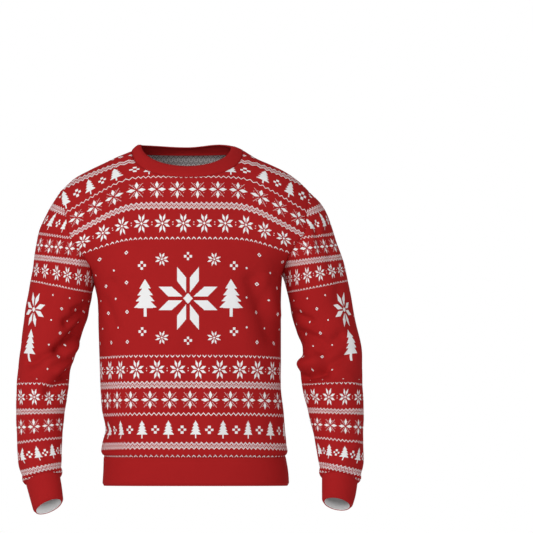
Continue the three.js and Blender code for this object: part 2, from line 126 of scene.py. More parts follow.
# Folds seen from the front and from behind: two ends as x, z, height (troughs are negative), width
FOLDS = {
    "front": ((122, -262, 160, -372, -6, 13), (150, -258, 172, -330, 4, 10),
              (96, -300, 128, -420, 3, 20), (2, -400, 10, -600, -3, 14), (48, -420, 44, -590, 3, 18),
              (-62, -430, -70, -600, -2.5, 16), (-206, -322, -246, -346, -6, 8),
              (-208, -352, -262, -400, -8, 9), (-262, -402, -318, -426, -5, 8),
              (-222, -388, -282, -420, 5, 9), (-232, -440, -282, -480, -8, 9),
              (-250, -470, -330, -470, 3, 12), (206, -432, 250, -426, 7, 11),
              (226, -456, 270, -444, -7, 8), (262, -438, 312, -412, -4, 9),
              (262, -404, 300, -372, -4, 10), (252, -480, 320, -470, 4, 11),
              (252, -146, 262, -196, -4, 7), (276, -160, 282, -230, -3, 8),
              (-252, -162, -240, -210, -4, 7), (-278, -200, -262, -262, -3, 9)),
    "back": ((-190, -200, -176, -320, -4, 12), (172, -190, 166, -320, -4, 12),
             (-120, -440, -128, -600, 3, 18), (60, -430, 66, -600, -3, 18),
             (130, -420, 138, -600, 3, 15), (-30, -470, -34, -600, -2.5, 15),
             (-226, -340, -286, -366, -6, 9), (-236, -372, -300, -392, 4, 10),
             (-240, -420, -310, -470, -5, 10), (224, -340, 288, -360, -6, 9),
             (232, -368, 300, -392, 4, 10), (238, -430, 310, -466, -5, 10)),
}
# Finer wrinkles, which the solids leave out, in the same columns
WRINKLES = {
    "front": ((-174, -560, -140, -566, -3, 7), (-176, -590, -146, -594, -2.5, 6),
              (188, -596, 160, -600, -2, 6), (-168, -300, -148, -352, -2.5, 7),
              (-160, -262, -128, -300, -2, 9), (158, -268, 140, -318, -2, 7),
              (-204, -306, -232, -320, -3, 5), (-214, -372, -250, -386, -2.5, 5),
              (-236, -424, -262, -442, 3, 6), (-258, -492, -300, -516, -2, 7),
              (-262, -540, -320, -560, -1.6, 8), (-300, -600, -270, -634, -2, 7),
              (-330, -610, -300, -646, 2, 7), (210, -326, 240, -340, -3, 6),
              (216, -362, 262, -380, -3, 7), (232, -398, 256, -412, 2.5, 6),
              (244, -500, 300, -516, -2, 8), (330, -590, 288, -640, 2.4, 8),
              (262, -600, 282, -642, -2, 6), (-232, -170, -220, -226, 2, 7),
              (226, -168, 214, -216, 2, 7), (-300, -250, -280, -300, -2, 9),
              (300, -240, 296, -300, -2.4, 9), (318, -300, 322, -360, -2, 9)),
    "back": ((-176, -330, -150, -380, -2, 8), (166, -330, 140, -384, -2, 8),
             (-222, -400, -262, -420, -2.5, 6), (220, -400, 258, -416, -2.5, 6),
             (-320, -590, -280, -640, 2, 8), (322, -590, 284, -640, 2, 8),
             (-236, -180, -224, -240, 2, 8), (228, -176, 216, -230, 2, 8),
             (-40, -40, -60, -110, 1.6, 16), (50, -40, 66, -110, -1.6, 16)),
}

# How far the print's rows droop beside the middle, as a slope by the row's height there
HINGE, HINGE_SOFT = 123, 15
DROOP = {
    "front": ((-620, 0.04), (-412, 0.07), (-322, 0.1), (-262, 0.25), (-177, 0.34), (-147, 0.43),
              (-112, 0.54), (-80, 0.58), (-54, 0.6), (-37, 0.5), (-22, 0.42), (-8, 0.36)),
    "back": ((-620, 0.02), (-342, 0.09), (-284, 0.12), (-222, 0.24), (-176, 0.22), (-148, 0.29),
             (-120, 0.28), (-94, 0.27), (-34, 0.17)),
}
# The same on a sleeve, as a slope from its outer edge inwards, and how far in the rows are measured
SLEEVE_TILT = {
    "front": ((-638, -0.2), (-522, -0.03), (-470, 0), (-268, 0.19), (-220, 0.12), (-172, 0.12),
              (-118, 0.33)),
    "back": ((-638, -0.2), (-522, -0.14), (-470, -0.07), (-268, 0.32), (-228, 0.42), (-172, 0.5),
             (-118, 0.7)),
}
TILT_AT = 50
# Above this height the cloth of the front turns back over the shoulder, by this much a millimetre
TURNS_AT, TURNS = -80, 0.0075
# How the print's columns lean outwards near the armholes, and where that begins, sideways and up
LEAN, LEAN_X, LEAN_Z = 0.18, (100, 160), (-230, -170)
LEAN_MIDDLE = -130
# How the lower rows crowd at the sides: where that begins, a factor on the square of the distance
# from there, and the distance at which it ends
CROWD = {"right": (115, 0.0095, 45), "left": (95, 0.006, 30)}
CROWD_Z = (-400, -300)

# The print's rows on each kind of piece, by motif: heights, each with the place of one motif in it
FRONT_ROWS = {
    "beads": ((27.5, 0),), "lattice": ((3.2, -3.9), (-112, -3.9), (-469, -3.9), (-590.5, -3.9)),
    "trees": ((-24.8, 30), (-558.5, 14.3)), "zigzag": ((-49.8, 0), (-527.5, 0)),
    "petals": ((-79.5, 18), (-499, 3)), "rosette": ((-147.2, 31.4), (-438.5, 20)),
    "caret": ((-177, 0), (-611, 0)), "chevron": ((-412, 0),),
}
BACK_ROWS = {
    "beads": ((-17.2, 0), (-197.9, 0), (-383.5, 0), (-572.5, 0)),
    "lattice": ((-35.3, 0), (-145.3, 0), (-217.3, 0), (-330.6, 0), (-441.1, 0), (-554.9, 0)),
    "trees": ((-65.2, 28), (-248.5, 23), (-411.3, 28), (-522.8, 28)),
    "zigzag": ((-91.9, 0), (-276.2, 0), (-495, 0)),
    "petals": ((-118.1, -16), (-302.4, -18), (-468.8, -14)),
    "rosette": ((-172.6, 9), (-358.3, 5), (-595, -1)),
}
# Its inner side shows a net below the collar, in place of the first rows
BACK_INSIDE_ROWS = {**BACK_ROWS, "beads": BACK_ROWS["beads"][1:],
                    "lattice": ((-14, 0), (-25, 0), *BACK_ROWS["lattice"])}
SLEEVE_ROWS = {
    "lattice": ((-130, 0), (-220, 0), (-522, 0), (-635, 0)),
    "trees": ((-104, 0), (-151, 0)), "close_trees": ((-604.5, 0),), "zigzag": ((-174, 0), (-579, 0)),
    "petals": ((-195, 0), (-551, 0)), "rosette": ((-246, 0), (-494, 0)),
    "caret": ((-271, 0), (-647, 0)), "chevron": ((-469, 0),),
}
SLEEVE_WIDTH, SLEEVE_HEIGHT = 0.76, 0.82     # scale of the print on the sleeves
PLAIN = {"body": (-398, -190), "sleeve": (-460, -284)}     # heights between which it is plain


def smooth(x, low, high):
    """A soft step from 0 at low to 1 at high."""
    t = np.clip((x - low) / (high - low), 0, 1)
    return t * t * (3 - 2 * t)


def mix(a, b, share):
    """The value that lies the given share of the way from a to b."""
    return a + (b - a) * share


def unit(vectors):
    """Vectors of length one, with those of no length left as they are."""
    length = np.linalg.norm(vectors, axis=-1, keepdims=True)
    return vectors / np.where(length > 1e-9, length, 1)


def read(rows, value):
    """The other columns of a table at values of its first one, on a smooth curve through its rows:
    a cubic between two rows, whose slope at each is that between the rows on its two sides."""
    rows = np.asarray(rows, float)
    key = rows[:, 0]
    i = np.searchsorted(key[1:-1], value)
    before, after = np.maximum(i - 1, 0), np.minimum(i + 2, len(rows) - 1)
    step = key[i + 1] - key[i]
    s = np.clip((value - key[i]) / step, 0, 1)[..., None]
    low, high = rows[i], rows[i + 1]
    slope_low = (high - rows[before]) * (step / (key[i + 1] - key[before]))[..., None]
    slope_high = (rows[after] - low) * (step / (key[after] - key[i]))[..., None]
    found = ((2 * s**3 - 3 * s**2 + 1) * low + (s**3 - 2 * s**2 + s) * slope_low
             + (3 * s**2 - 2 * s**3) * high + (s**3 - s**2) * slope_high)
    return np.moveaxis(found, -1, 0)[1:]


def spaced(rows):
    """Rows with a first column that spaces them evenly from 0 to 1."""
    return [(i / (len(rows) - 1), *row) for i, row in enumerate(rows)]


def rounded(angle, squareness):
    """A rounded oblong's two shares at an angle: the sine and the cosine, each to 2 / squareness."""
    power = 2 / squareness
    return np.maximum(np.sin(angle), 0) ** power, np.maximum(np.cos(angle), 0) ** power


def armhole_share(w):
    """Places up the armhole: a half cosine, evened out a little."""
    return mix((1 - np.cos(np.pi * w)) / 2, w, EVEN_ROWS)


def top_edge(panel, side, out):
    """Top edge of half a panel: a rounded oblong's quarter along the neck seam, which sinks from
    the neck point to the middle, then the shoulder seam from its table."""
    (_, neck_x, neck_z), *_ = SHOULDER[side]
    x, z = read(SHOULDER[side], (out - NECK_SHARE) / (1 - NECK_SHARE))
    across, down = rounded(np.minimum(out / NECK_SHARE, 1) * np.pi / 2, NECK_SQUARENESS)
    neck = out < NECK_SHARE
    return (np.where(neck, mix(NECK_X, neck_x, across), x),
            np.where(neck, panel["side"] * panel["neck_y"] * down, 0),
            np.where(neck, mix(neck_z, panel["neck_z"], down), z))


def half_panel(panel, side, out, up):
    """One side of a panel's middle surface. Below the armpit each row is a quarter of a rounded
    oblong between the centre line and the side seam. Above it the rows turn less far, rise in an
    arch from the chest to the top edge, and spread to the neck opening."""
    power = 2 / SQUARENESS
    armpit, tip = ARMPIT_Z[side], SHOULDER[side][-1]
    low = np.minimum(up, 0) + 1
    edge_z, middle_z = mix(HEM_SEAM_Z, armpit, low), mix(HEM_SEAM_Z - HEM_DIP, CHEST_Z, low)
    middle = read(MIDDLE, middle_z)
    edge_x, = read(OUTLINE[side], edge_z)
    along, depth = rounded(out * np.pi / 2, SQUARENESS)
    below = np.stack([mix(middle[0], edge_x, along), panel["side"] * middle[panel["depth"]] * depth,
                      mix(middle_z, edge_z, out**2)], -1)

    high = np.maximum(up, 0)
    top_x, top_y, top_z = top_edge(panel, side, out)
    middle = read(MIDDLE, mix(CHEST_Z, panel["neck_z"], high))
    edge_x, = read(OUTLINE[side], mix(armpit, TIP_Z[side], high))
    turn = np.radians(mix(90, ARMHOLE_TURN, smooth(high, 0, ARMHOLE_TURNED)))
    spread = (np.sin(out * turn) / np.sin(turn)) ** power
    rest = np.maximum(np.cos(turn), 0) ** power
    depth_share = (np.maximum(np.cos(out * turn), 0) ** power - rest) / (1 - rest)
    top_turn = np.radians(ARMHOLE_TURN)
    top_spread = (np.sin(out * top_turn) / np.sin(top_turn)) ** power
    centre_x = read(MIDDLE, np.array(panel["neck_z"]))[0]
    x = mix(middle[0], edge_x, spread) + (top_x - mix(centre_x, tip[1], top_spread)) * high**NECK_SPREAD
    armhole = panel["armhole_y"] * np.sin(np.pi / 2 * np.minimum(1, high / ARMHOLE_FRONT))
    depth = panel["side"] * mix(armhole, middle[panel["depth"]], depth_share)
    bend = mix(panel["roundness"], SHOULDER_ROUNDNESS, smooth(out, SHOULDER_FROM, SHOULDER_TO))
    y = mix(top_y, depth, (1 - high**bend) ** (1 / bend))
    above = np.stack([x, y, mix(mix(CHEST_Z, armpit, out**2), top_z, high)], -1)
    return np.where((up <= 0)[..., None], below, above)


def panel_point(panel, across, up):
    """A panel's middle surface: across from -1 to 1 between the right and left side seams, up from
    -1 at the hem band to 0 at the armpits and 1 at the shoulder and neck seams."""
    out = np.abs(across)
    return np.where((across < 0)[..., None], half_panel(panel, "right", out, up),
                    half_panel(panel, "left", out, up))


def section_point(section, around):
    """An ellipse between a section's outer and inner edge, leant back: around is the angle from
    the outer edge over the front."""
    outer_x, outer_z, inner_x, inner_z, y, depth, lean = section
    out, forward = (1 + np.cos(around)) / 2, depth * np.sin(around)
    lean = np.radians(lean)
    return np.stack([mix(inner_x, outer_x, out), y - forward * np.cos(lean),
                     mix(inner_z, outer_z, out) + forward * np.sin(lean)], -1)


def armhole_point(side, around):
    """The armhole seam as a ring from the tip of the shoulder over the front to the armpit: the
    side edges of the two panels."""
    front = around <= np.pi
    down = np.where(front, around / np.pi, 2 - around / np.pi)
    up, edge = armhole_share(1 - down), np.full_like(around, -1.0 if side == "right" else 1.0)
    return np.where(front[..., None], panel_point(FRONT, edge, up), panel_point(BACK, edge, up))


def sleeve_point(side, around, down):
    """A sleeve's middle surface: its table's ellipses, with the armhole's own curve fading out
    below the cap."""
    around = around % (2 * np.pi)
    first = section_point([np.float64(value) for value in SLEEVE[side][0]], around)
    cap = (armhole_point(side, around) - first) * (1 - smooth(down, 0, CAP_FADE))[..., None]
    return section_point(read(spaced(SLEEVE[side]), down), around) + cap


def cuff_point(side, around, down):
    """A cuff, from the sleeve's end to its free edge: the ellipses of its table."""
    return section_point(read(spaced([SLEEVE[side][-1], *CUFF[side]]), down), around)


def quarters(turn):
    """For a place on a ring, 0 and 1 at the front and a quarter at the wearer's left: whether it
    is in front, whether it is on the left, and its angle from the middle of the front or back."""
    return (np.abs(turn - 0.5) >= 0.25, turn <= 0.5,
            np.abs(np.arcsin(np.sin(turn * 2 * np.pi).clip(-1, 1))))


def collar_point(turn, up, bulge):
    """The collar: from the neck seam straight to an ellipse at its free edge, bowed out between."""
    front, left, angle = quarters(turn)
    share = NECK_SHARE * angle / (np.pi / 2)
    seams = [[np.stack(top_edge(panel, side, share), -1) for side in ("right", "left")]
             for panel in (BACK, FRONT)]
    seam = np.where(front[..., None], np.where(left[..., None], seams[1][1], seams[1][0]),
                    np.where(left[..., None], seams[0][1], seams[0][0]))
    side_x, side_z = [np.where(left, COLLAR_SIDE["left"][k], COLLAR_SIDE["right"][k]) for k in (0, 1)]
    mid_y, mid_z = [np.where(front, COLLAR_FRONT[k], COLLAR_BACK[k]) for k in (0, 1)]
    across, along = np.sin(angle), np.cos(angle)
    lift = np.where(front, 0, np.where(left, COLLAR_LIFT["left"], COLLAR_LIFT["right"]))
    edge = np.stack([mix(NECK_X, side_x, across), mix(COLLAR_SIDE_Y, mid_y, along),
                     mix(side_z, mid_z, along) + lift * (2 * across * along) ** 2], -1)
    out = unit(seam * (1, 1, 0) - (NECK_X, 0, 0))
    return mix(seam, edge, up[..., None]) + out * (bulge * 4 * up * (1 - up))[..., None]


def hem_point(turn, down):
    """The hem band: the body's lowest section, moved to the widths and depths of its table, down
    to a level fold."""
    front, left, angle = quarters(turn)
    across_share = np.where(left, 1, -1) * angle / (np.pi / 2)
    low = np.full_like(turn, -1.0)
    seam = np.where(front[..., None], panel_point(FRONT, across_share, low),
                    panel_point(BACK, across_share, low))
    top = (HEM_SEAM_Z, OUTLINE["right"][0][1], OUTLINE["left"][0][1], *MIDDLE[0][2:])
    ring = read(spaced([top, *HEM]), down)
    across, along = rounded(angle, SQUARENESS)
    wide = np.where(left, ring[2] - top[2], ring[1] - top[1])
    deep = np.where(front, top[3] - ring[3], ring[4] - top[4])
    level = down * (HEM_SEAM_Z - seam[..., 2])
    return seam + np.stack([across * wide, along * deep, ring[0] - top[0] + level], -1)


FOLD_SPREAD = 1.25          # how much wider than the solids' the cloth's folds are


def fold_depth(face, points):
    """How far out the folds and wrinkles of the front or back move points: for each, its height
    times a bell curve of the distance from its line, seen from the front."""
    depth = 0
    for x1, z1, x2, z2, height, width in FOLDS[face] + WRINKLES[face]:
        width = width * FOLD_SPREAD
        along = np.array([x2 - x1, z2 - z1], float)
        off = points[..., [0, 2]] - (x1, z1)
        share = np.clip(off @ along / (along @ along), 0, 1)[..., None]
        depth = depth + height * np.exp(-((off - share * along) ** 2).sum(-1) / width**2)
    return depth


def unevenness(points, size):
    """The cloth's own small waves, a sum of four slanting sines."""
    x, y, z = np.moveaxis(points, -1, 0)
    wave = (np.sin(x / 21 + z / 34 + 1) + np.sin(z / 27 - x / 40 + y / 30)
            + 0.6 * np.sin(x / 13 - z / 17 + 2) + 0.4 * np.sin(z / 9 + x / 16 + y / 12))
    return size * wave / 3


def cloth_normals(points, closed, turn):
    """Normals of a grid of points: the cross product of its steps along the rows and columns."""
    if closed:
        ring = points[:, :-1]
        across = np.roll(ring, -1, 1) - np.roll(ring, 1, 1)
        across = np.concatenate([across, across[:, :1]], 1)
    else:
        across = np.gradient(points, axis=1)
    return unit(np.cross(across, np.gradient(points, axis=0))) * turn


# Steps from a seam and from a free edge inwards, in millimetres, before the even spacing begins
SEAM_STEPS = (0, 0.7, 1.4, 2.2, 3.2, 4.6)
FREE_STEPS = (0, 0.8, 1.7, 2.7, 3.9, 5.3, 7)


def stops(count, length, first, last):
    """Places from 0 to 1: an even count of them, with the given steps at the two ends instead of
    those that lie as close to them."""
    near, far = np.array(first) / length, 1 - np.array(last)[::-1] / length
    step = 1 / count
    inner = np.linspace(0, 1, count + 1)
    inner = inner[(inner > near[-1] + step / 2) & (inner < far[0] - step / 2)]
    return np.concatenate([near, inner, far])


class Sheet:
    """One cut piece as a grid of points on its middle surface, with its normals and its maps."""

    def __init__(self, name, place, u, v, closed=False, turn=1, free=False):
        self.name, self.closed, self.turn, self.free = name, closed, turn, free
        self.u, self.v = np.meshgrid(u, v)
        self.points = place(self.u, self.v)
        self.normals = cloth_normals(self.points, closed, turn)
        step = np.linalg.norm(np.diff(self.points, axis=1), axis=-1)
        self.along_row = np.pad(np.cumsum(step, 1), ((0, 0), (1, 0)))
        step = np.linalg.norm(np.diff(self.points, axis=0), axis=-1)
        self.along_column = np.pad(np.cumsum(step, 0), ((1, 0), (0, 0)))

    def move(self, distance):
        """Moves the points along their normals, and works the normals out again."""
        self.points = self.points + self.normals * distance[..., None]
        self.normals = cloth_normals(self.points, self.closed, self.turn)

    def seam_map(self):
        """For each point, the place along the nearest edge and the distance from it."""
        low, high = self.along_column, self.along_column[-1:] - self.along_column
        if self.free:
            high = high + 1000
        best, along = np.minimum(low, high), self.along_row
        if not self.closed:
            side = np.minimum(self.along_row, self.along_row[:, -1:] - self.along_row)
            along = np.where(side < best, self.along_column, along)
            best = np.minimum(side, best)
        return along, best

    def edges(self):
        """Indices of the grid's rows and columns that are seams, each with the way inwards."""
        found = [(np.s_[0, :], lambda k: np.s_[k, :]), (np.s_[-1, :], lambda k: np.s_[-1 - k, :])]
        if self.free:
            found.pop()
        if not self.closed:
            found += [(np.s_[:, 0], lambda k: np.s_[:, k]), (np.s_[:, -1], lambda k: np.s_[:, -1 - k])]
        return found


SAME_PLACE = 1.5            # how close, in millimetres, points of two seams count as one place


def join_normals(sheets):
    """Gives edges that meet one normal: at each point of a seam, the mean of the rings' normals
    there and the mean of the panels', both weighted by a bell curve of the distance. It fades
    into the sheet's own normals over the next few rows."""
    points, normals, rings = [], [], []
    for sheet in sheets:
        for edge, _ in sheet.edges():
            points.append(sheet.points[edge])
            normals.append(sheet.normals[edge])
            rings.append(np.full(len(points[-1]), sheet.closed))
    points, normals, rings = map(np.concatenate, (points, normals, rings))
    square = (points**2).sum(-1)
    apart = square[:, None] + square[None] - 2 * points @ points.T
    weight = np.exp(-np.maximum(apart, 0) / SAME_PLACE**2)
    joined = unit(unit((weight * rings) @ normals) + unit((weight * ~rings) @ normals))
    start = 0
    for sheet in sheets:
        for edge, inwards in sheet.edges():
            here = joined[start:start + len(sheet.points[edge])]
            start += len(here)
            for k in range(len(SEAM_STEPS)):
                share = k / len(SEAM_STEPS)
                sheet.normals[inwards(k)] = unit(mix(here, sheet.normals[inwards(k)], share))


def draw_back(sheet, gap):
    """Draws the seams of a sheet back by half of the gap, towards the next row of points."""
    for edge, inwards in sheet.edges():
        sheet.points[edge] += unit(sheet.points[inwards(1)] - sheet.points[edge]) * gap / 2


def row_share(v):
    """Rows of a panel: even below the armpit, and by armhole_share above it."""
    below = v <= BELOW_SHARE
    return np.where(below, v / BELOW_SHARE - 1,
                    armhole_share((v - BELOW_SHARE) / (1 - BELOW_SHARE)))


SEAM_HOLD = 0.08            # share of a piece's length over which its folds fade out at an end


def seam_hold(share):
    """0 at both ends of a share and 1 between."""
    return smooth(share, 0, SEAM_HOLD) * smooth(1 - share, 0, SEAM_HOLD)


DROOP_PASSES = 12


def flat_height(face, points):
    """Height on the flat print of each point. Beside the middle its row lies lower by a slope times
    the distance beyond a soft hinge on each side. The slope is that of the row itself, so that the
    height is found in a few passes."""
    x, z = points[..., 0], points[..., 2]
    beside = HINGE_SOFT * np.logaddexp(0, (np.abs(x - NECK_X) - HINGE) / HINGE_SOFT)
    height = z
    for _ in range(DROOP_PASSES):
        height = mix(height, z + read(DROOP[face], height)[0] * beside, 0.7)
    if face == "front":
        height = height + TURNS * np.maximum(height - TURNS_AT, 0) ** 2
    return height


def flat_across(x, y, z, share):
    """Length of cloth sideways from the middle to each point, in which the steps back and forth
    fade out above the armpit. Near the armholes the columns lean outwards, and below they crowd."""
    steps = np.hypot(np.diff(x, axis=1), np.diff(y, axis=1) * (1 - smooth(share, 0, 0.35))[:, 1:])
    across = np.pad(np.cumsum(steps, 1), ((0, 0), (1, 0)))
    middle = [np.interp(NECK_X / 2, xs, ps) for xs, ps in zip(x, across)]
    lean = LEAN * (z - LEAN_MIDDLE) * smooth(np.abs(x), *LEAN_X) * smooth(z, *LEAN_Z)
    start, factor, most = [np.where(x < 0, *pair) for pair in zip(CROWD["right"], CROWD["left"])]
    crowd = factor * np.clip(np.abs(x) - start, 0, most) ** 2 * (1 - smooth(z, *CROWD_Z))
    return across - np.array(middle)[:, None] + np.sign(x) * (crowd - lean)


PUFF_AT, PUFF_WIDTH = 10, 7     # how far above a band's seam the cloth puffs out over it, how widely


def puff(from_seam, size):
    """The cloth's bulge just above a band's seam: a bell curve of the distance from it."""
    return size / MM * np.exp(-((from_seam - PUFF_AT) / PUFF_WIDTH) ** 2) * smooth(from_seam, 0, 5)


def body_sheet(name, face, panel, sizes):
    """A front or back panel with its folds, and its print laid flat."""
    sheet = Sheet(name, lambda u, v: panel_point(panel, 2 * u - 1, row_share(v)),
                  stops(sizes.panel_columns, 460, SEAM_STEPS, SEAM_STEPS),
                  stops(sizes.panel_rows, 520, SEAM_STEPS, SEAM_STEPS), turn=-panel["side"])
    sheet.print_map = (flat_across(*np.moveaxis(sheet.points, -1, 0), row_share(sheet.v)),
                       flat_height(face, sheet.points))
    hold = seam_hold(sheet.u) * seam_hold(sheet.v)
    depth = sizes.folds * (fold_depth(face, sheet.points) + unevenness(sheet.points, 0.6)) * hold
    sheet.move(depth + puff(sheet.along_column, sizes.hem_puff))
    return sheet


EDGE_FADE = 2.5             # how fast a sleeve's folds fade out where it turns to its back


def sleeve_sheet(name, side, sizes):
    """A sleeve with its folds, from the underarm seam round the back. Its print's rows tilt from
    the outer edge inwards, and its columns follow that edge."""
    sheet = Sheet(name, lambda u, v: sleeve_point(side, np.pi + 2 * np.pi * u, v),
                  np.linspace(0, 1, sizes.sleeve_columns + 1),
                  stops(sizes.sleeve_rows, 560, SEAM_STEPS, SEAM_STEPS), closed=True,
                  turn=-1 if side == "right" else 1)
    facing = np.sin(np.pi + 2 * np.pi * sheet.u)
    front = facing > 0
    z = sheet.points[..., 2]
    outer = read([(row[1], row[0]) for row in SLEEVE[side][::-1]], z)[0]
    inwards = np.abs(outer - sheet.points[..., 0])
    tilt = read(SLEEVE_TILT["front"], z)[0]
    tilt_here = np.where(front, tilt, read(SLEEVE_TILT["back"], z)[0])
    middle = sheet.along_row[:, -1:] / 2
    sheet.print_map = sheet.along_row - middle, z - tilt * TILT_AT + tilt_here * inwards
    depth = np.where(front, fold_depth("front", sheet.points), fold_depth("back", sheet.points))
    depth = depth * np.minimum(1, EDGE_FADE * np.abs(facing)) + unevenness(sheet.points, 0.8)
    left = sheet.along_column[-1:] - sheet.along_column
    sheet.move(sizes.sleeve_folds * depth * seam_hold(sheet.v) + puff(left, sizes.cuff_puff))
    return sheet


def band_sheet(name, place, columns, rows, length, turn, sizes):
    """A folded band: a ring from its seam to its free edge, where the cloth rolls inwards."""
    sheet = Sheet(name, place, np.linspace(0, 1, columns + 1),
                  stops(rows, length, SEAM_STEPS, FREE_STEPS), closed=True, turn=turn, free=True)
    sheet.print_map = sheet.along_row, sheet.along_column
    left = sheet.along_column[-1:] - sheet.along_column
    roll = -sizes.edge_roll / MM * smooth(left, FREE_STEPS[-1], 0) ** 2
    hold = smooth(sheet.along_column, 0, 8) * smooth(left, 0, 8)
    sheet.move(roll + 0.35 * unevenness(sheet.points, 1) * hold)
    return sheet


def sweater_sheets(sizes):
    """All eight cut pieces, joined at their seams."""
    bulge = sizes.band_bulge / MM
    sheets = [
        body_sheet("front", "front", FRONT, sizes),
        body_sheet("back", "back", BACK, sizes),
        sleeve_sheet("sleeve_right", "right", sizes),
        sleeve_sheet("sleeve_left", "left", sizes),
        band_sheet("neck_band", lambda u, v: collar_point(u, v, bulge), 240, 14, 25, 1, sizes),
        band_sheet("hem_band", hem_point, 300, 30, 60, -1, sizes),
        band_sheet("cuff_right", lambda u, v: cuff_point("right", 2 * np.pi * u, v), 120, 30, 60, -1,
                   sizes),
        band_sheet("cuff_left", lambda u, v: cuff_point("left", 2 * np.pi * u, v), 120, 30, 60, 1,
                   sizes),
    ]
    join_normals(sheets)
    for sheet in sheets:
        sheet.seam = sheet.seam_map()
        dip = -sizes.seam_dip / MM * np.exp(-(sheet.seam[1] / 2.2) ** 2)
        sheet.points = sheet.points + sheet.normals * dip[..., None]
        draw_back(sheet, sizes.seam_gap / MM)
    return {sheet.name: sheet for sheet in sheets}


RIM_STEPS = 4               # points round a free edge, between its outer and inner side


def closed_cloth(sheet, thickness):
    """A sheet's closed wall as a loop of rows: the outer side, a rim, the inner side, a rim. The
    rim at a free edge is half a circle, the one at a seam is flat. Returns the rows of points, the
    grid row that each comes from, and whether each lies on the inner side."""
    half, last = thickness / 2, len(sheet.points) - 1
    out = sheet.normals * half

    def rim(row, beside, turn):
        onwards = unit(sheet.points[row] - sheet.points[beside]) * half * sheet.free * (row == last)
        return [sheet.points[row] + np.cos(a) * out[row] + np.sin(a) * onwards for a in turn]

    angles = np.pi * np.arange(1, RIM_STEPS + 1) / (RIM_STEPS + 1)
    rows = [*(sheet.points + out), *rim(last, last - 1, angles),
            *(sheet.points - out)[::-1], *rim(0, 1, angles[::-1])]
    source = [*range(last + 1), *[last] * RIM_STEPS, *range(last, -1, -1), *[0] * RIM_STEPS]
    inside = np.zeros(len(rows), bool)
    inside[last + 1 + RIM_STEPS - 1:-RIM_STEPS - 1] = True
    return np.array(rows), np.array(source), inside


def placed(mesh, materials):
    """The mesh as an object of its name in the scene, with its materials."""
    for material in materials:
        mesh.materials.append(material)
    made = bpy.data.objects.new(mesh.name, mesh)
    bpy.context.scene.collection.objects.link(made)
    return made


def cloth_mesh(sheet, thickness, materials):
    """Makes a sheet's closed mesh, with its print and its seams as UV maps in metres."""
    rows, source, inside = closed_cloth(sheet, thickness)
    count, wide = rows.shape[:2]
    columns = wide - 1 if sheet.closed else wide
    r, c = (grid.ravel() for grid in np.mgrid[0:count, 0:wide - 1])
    corners = np.stack([r * wide + c, r * wide + c + 1, (r + 1) % count * wide + c + 1,
                        (r + 1) % count * wide + c], -1)
    slots = inside[r].astype(int)
    if not sheet.closed:
        # Each side edge is closed by a strip between the outer and the inner rows
        order = np.roll(np.arange(count), RIM_STEPS // 2)
        a, b = order[:count // 2], order[::-1][:count // 2]
        for column, way in ((0, 1), (wide - 1, -1)):
            strip = np.stack([a[:-1], a[1:], b[1:], b[:-1]], -1)[:, ::way] * wide + column
            corners = np.concatenate([corners, strip])
        slots = np.concatenate([slots, np.zeros(2 * (count // 2 - 1), int)])
    points = rows.reshape(-1, 3)
    a, b, c, d = (points[corners[:, k]] for k in range(4))
    if (np.cross(c - a, d - b) * (a + b + c + d)).sum() < 0:
        corners = corners[:, ::-1]
    vertices = corners // wide * columns + corners % wide % columns

    mesh = bpy.data.meshes.new(sheet.name)
    mesh.vertices.add(count * columns)
    mesh.vertices.foreach_set("co", (rows[:, :columns] * MM).ravel())
    mesh.loops.add(vertices.size)
    mesh.loops.foreach_set("vertex_index", vertices.ravel().astype(np.int32))
    mesh.polygons.add(len(vertices))
    mesh.polygons.foreach_set("loop_start", np.arange(0, vertices.size, 4, dtype=np.int32))
    mesh.polygons.foreach_set("material_index", slots.astype(np.int32))
    mesh.update(calc_edges=True)
    for name, maps in (("flat", sheet.print_map), ("seam", sheet.seam)):
        values = np.stack(maps, -1)[source].reshape(-1, 2)[corners.ravel()] * MM
        mesh.uv_layers.new(name=name).data.foreach_set("uv", values.ravel())
    mesh.validate()
    mesh.shade_smooth()
    mesh.set_sharp_from_angle(angle=np.radians(55))
    return placed(mesh, materials)


STITCH_ROW = 4              # row of points from a seam on which the topstitching lies
STITCH_SHARE = 0.8          # share of a stitch's pitch that its thread takes
STITCH_SIDES = 6


def seam_line(stretches):
    """One closed line of points with its normals, from stretches of rows: sheet, row, columns."""
    return [np.concatenate([getattr(sheet, grid)[row][columns] for sheet, row, columns in stretches])
            for grid in ("points", "normals")]


def seam_lines(sheets):
    """The lines of topstitching: round the neck and the hem on both panels, and above the cuffs."""
    front, back = sheets["front"], sheets["back"]
    neck = [np.flatnonzero(np.abs(2 * sheet.u[0] - 1) < NECK_SHARE) for sheet in (front, back)]
    top, low, whole, turned = -1 - STITCH_ROW, STITCH_ROW, np.s_[:], np.s_[::-1]
    lines = {"neck": [(front, top, neck[0]), (back, top, neck[1][::-1])],
             "hem": [(front, low, whole), (back, low, turned)]}
    for side in ("right", "left"):
        lines["cuff_" + side] = [(sheets["sleeve_" + side], top, np.s_[:-1])]
    return {name: seam_line(stretches) for name, stretches in lines.items()}


